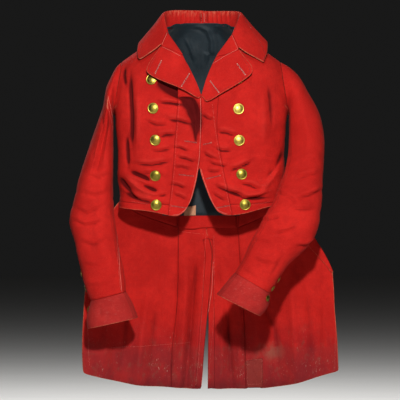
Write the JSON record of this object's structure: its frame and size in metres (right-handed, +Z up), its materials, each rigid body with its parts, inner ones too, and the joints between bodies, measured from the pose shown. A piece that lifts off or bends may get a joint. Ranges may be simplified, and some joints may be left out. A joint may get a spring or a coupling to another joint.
{
  "type": "hunting coat",
  "caption": "Red wool cut-in hunting tailcoat, double-breasted with brass buttons, worn and muddy at the tails, filled out with no wearer.",
  "frame": {"origin": "between the shoulders, inside the coat's neck, at the height of the shoulder tips and midway through the chest's depth", "axes": "+Z up along the coat's length, -Y is the front, +X is the wearer's left"},
  "size_m": [0.6495, 0.2723, 0.9191],
  "materials": {
    "red_wool": "matte",
    "navy_lining": "satin",
    "tan_canvas": "matte",
    "brass": "worn"
  },
  "bodies": {
    "root": {"forepart_right": "red_wool", "waistband_right": "red_wool", "lapel_right": "red_wool", "side_body_right": "red_wool", "back_right": "red_wool", "skirt_right": "red_wool", "vent_facing_right": "red_wool", "collar_right": "red_wool", "collar_end_right": "red_wool", "top_sleeve_right": "red_wool", "under_sleeve_right": "red_wool", "top_cuff_right": "red_wool", "under_cuff_right": "red_wool", "front_button_right_1": "brass", "front_button_right_2": "brass", "front_button_right_3": "brass", "front_button_right_4": "brass", "front_button_right_5": "brass", "cuff_button_right_1": "brass", "cuff_button_right_2": "brass", "cuff_button_right_3": "brass", "forepart_left": "red_wool", "waistband_left": "red_wool", "lapel_left": "red_wool", "side_body_left": "red_wool", "back_left": "red_wool", "skirt_left": "red_wool", "vent_facing_left": "red_wool", "collar_left": "red_wool", "collar_end_left": "red_wool", "top_sleeve_left": "red_wool", "under_sleeve_left": "red_wool", "top_cuff_left": "red_wool", "under_cuff_left": "red_wool", "front_button_left_1": "brass", "front_button_left_2": "brass", "front_button_left_3": "brass", "front_button_left_4": "brass", "front_button_left_5": "brass", "cuff_button_left_1": "brass", "cuff_button_left_2": "brass", "cuff_button_left_3": "brass", "hem_patch": "red_wool", "back_lining": "navy_lining", "waist_facing": "red_wool", "canvas_tab": "tan_canvas"}
  },
  "joints": []
}
